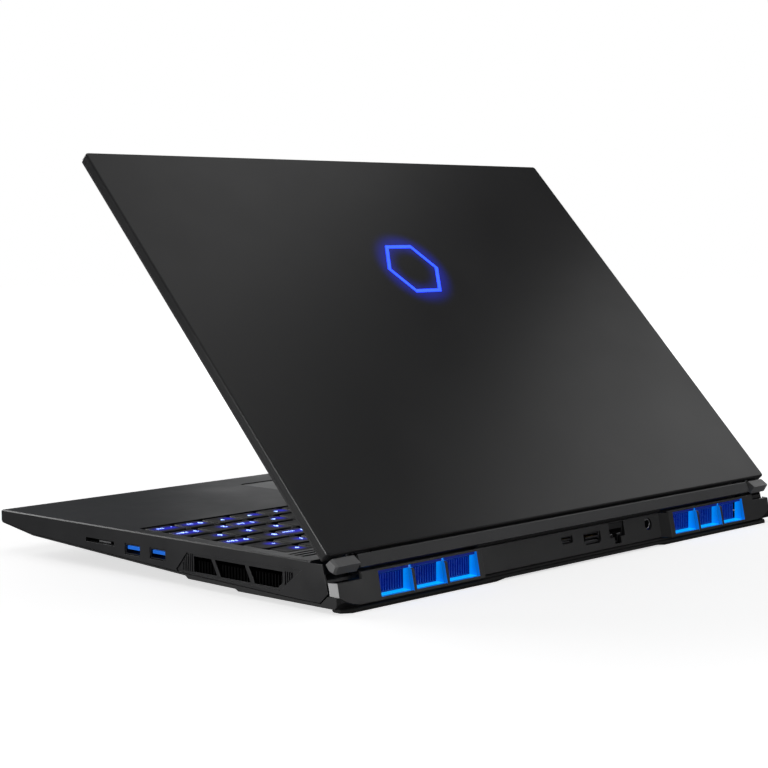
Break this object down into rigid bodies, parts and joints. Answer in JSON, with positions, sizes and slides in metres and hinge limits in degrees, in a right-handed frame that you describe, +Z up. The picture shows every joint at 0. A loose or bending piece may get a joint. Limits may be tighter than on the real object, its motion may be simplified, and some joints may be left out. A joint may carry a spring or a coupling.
{
  "type": "laptop computer",
  "caption": "Open gaming laptop with a tilting lid, numeric keypad, rear and side exhaust vents lined in blue, and sockets on the sides and rear.",
  "frame": {"origin": "on the desk, under the middle of the object's box", "axes": "+X to the right of the person typing, +Y towards the hinge, +Z up"},
  "size_m": [0.359, 0.265, 0.2143],
  "materials": {
    "aluminium_black": "black satin paint on aluminium sheet",
    "case_black": "dark grey satin paint on aluminium",
    "bottom_black": "fine-grained black plastic",
    "bezel_black": "fine-grained black plastic",
    "frame_grey": "satin dark grey plastic",
    "inner_plastic": "black plastic",
    "key_black": "matte keycaps with printed letters",
    "touch_grey": "smooth satin",
    "screen": "dark display, switched off",
    "blue_liner": "bright blue lacquer",
    "blue_light": "lit blue light guide",
    "steel": "bare sheet steel",
    "copper": null,
    "board_green": "printed circuit board",
    "battery_black": null,
    "rubber": "soft matte rubber"
  },
  "bodies": {
    "base": {"top_cover": "case_black", "bottom_cover": "bottom_black", "rear_frame": "frame_grey", "exhaust_liner_right": "blue_liner", "exhaust_liner_left": "blue_liner", "keyboard_plate": "inner_plastic", "motherboard": "board_green", "cold_plate": "copper", "heat_pipe_right": "copper", "heat_pipe_left": "copper", "rear_fins_right": "copper", "rear_fins_left": "copper", "side_fins_right": "copper", "side_fins_left": "copper", "fan_housing_right": "inner_plastic", "fan_housing_left": "inner_plastic", "battery_pack": "battery_black", "solid_state_drive": "board_green", "memory_module": "board_green", "wireless_card": "board_green", "speaker_right": "inner_plastic", "speaker_left": "inner_plastic", "usb_a_port_right_1": "steel", "usb_a_port_right_2": "steel", "usb_a_port_left": "steel", "card_reader": "steel", "usb_c_port": "steel", "hdmi_port": "steel", "ethernet_port": "inner_plastic", "dc_inlet": "inner_plastic", "microphone_jack": "inner_plastic", "headphone_jack": "inner_plastic", "rear_foot": "rubber", "front_foot_right": "rubber", "front_foot_left": "rubber", "hinge_bracket_right": "steel", "hinge_bracket_left": "steel"},
    "lid": {"lid_back_cover": "aluminium_black", "display_bezel": "bezel_black", "lcd_panel": "screen", "webcam_module": "inner_plastic", "lid_emblem": "blue_light", "hinge_bar": "frame_grey", "hinge_cap_right": "frame_grey", "hinge_cap_left": "frame_grey", "hinge_arm_right": "steel", "hinge_arm_left": "steel", "hinge_pin_right": "steel", "hinge_pin_left": "steel"},
    "key_row_space": {"key_row_space": "key_black"},
    "key_row_shift": {"key_row_shift": "key_black"},
    "key_row_home": {"key_row_home": "key_black"},
    "key_row_upper": {"key_row_upper": "key_black"},
    "key_row_number": {"key_row_number": "key_black"},
    "key_row_function": {"key_row_function": "key_black"},
    "touchpad": {"touchpad": "touch_grey"},
    "power_button": {"power_button": "touch_grey"},
    "fan_rotor_right": {"fan_rotor_right": "inner_plastic"},
    "fan_rotor_left": {"fan_rotor_left": "inner_plastic"}
  },
  "joints": [
    {"name": "lid_hinge", "type": "hinge", "parent": "base", "child": "lid", "pos_m": [0, 0.1218, 0.0251], "axis": [-1, 0, 0], "range_deg": [-47.1, 88]},
    {"name": "key_row_space_press", "type": "slide", "parent": "base", "child": "key_row_space", "axis": [0, 0, 1], "range_m": [-0.0015, 0], "stiffness_N_per_m": 400, "springref_m": 0.0015},
    {"name": "key_row_shift_press", "type": "slide", "parent": "base", "child": "key_row_shift", "axis": [0, 0, 1], "range_m": [-0.0015, 0], "stiffness_N_per_m": 400, "springref_m": 0.0015},
    {"name": "key_row_home_press", "type": "slide", "parent": "base", "child": "key_row_home", "axis": [0, 0, 1], "range_m": [-0.0015, 0], "stiffness_N_per_m": 400, "springref_m": 0.0015},
    {"name": "key_row_upper_press", "type": "slide", "parent": "base", "child": "key_row_upper", "axis": [0, 0, 1], "range_m": [-0.0015, 0], "stiffness_N_per_m": 400, "springref_m": 0.0015},
    {"name": "key_row_number_press", "type": "slide", "parent": "base", "child": "key_row_number", "axis": [0, 0, 1], "range_m": [-0.0015, 0], "stiffness_N_per_m": 400, "springref_m": 0.0015},
    {"name": "key_row_function_press", "type": "slide", "parent": "base", "child": "key_row_function", "axis": [0, 0, 1], "range_m": [-0.0015, 0], "stiffness_N_per_m": 400, "springref_m": 0.0015},
    {"name": "touchpad_click", "type": "slide", "parent": "base", "child": "touchpad", "axis": [0, 0, 1], "range_m": [-0.0004, 0], "stiffness_N_per_m": 1500, "springref_m": 0.0004},
    {"name": "power_button_press", "type": "slide", "parent": "base", "child": "power_button", "axis": [0, 0, 1], "range_m": [-0.0005, 0], "stiffness_N_per_m": 500, "springref_m": 0.0005},
    {"name": "fan_right_spin", "type": "hinge", "parent": "base", "child": "fan_rotor_right", "pos_m": [0.108, 0.0575, 0.0113], "axis": [0, 0, 1], "continuous": true},
    {"name": "fan_left_spin", "type": "hinge", "parent": "base", "child": "fan_rotor_left", "pos_m": [-0.108, 0.0575, 0.0113], "axis": [0, 0, 1], "continuous": true}
  ]
}
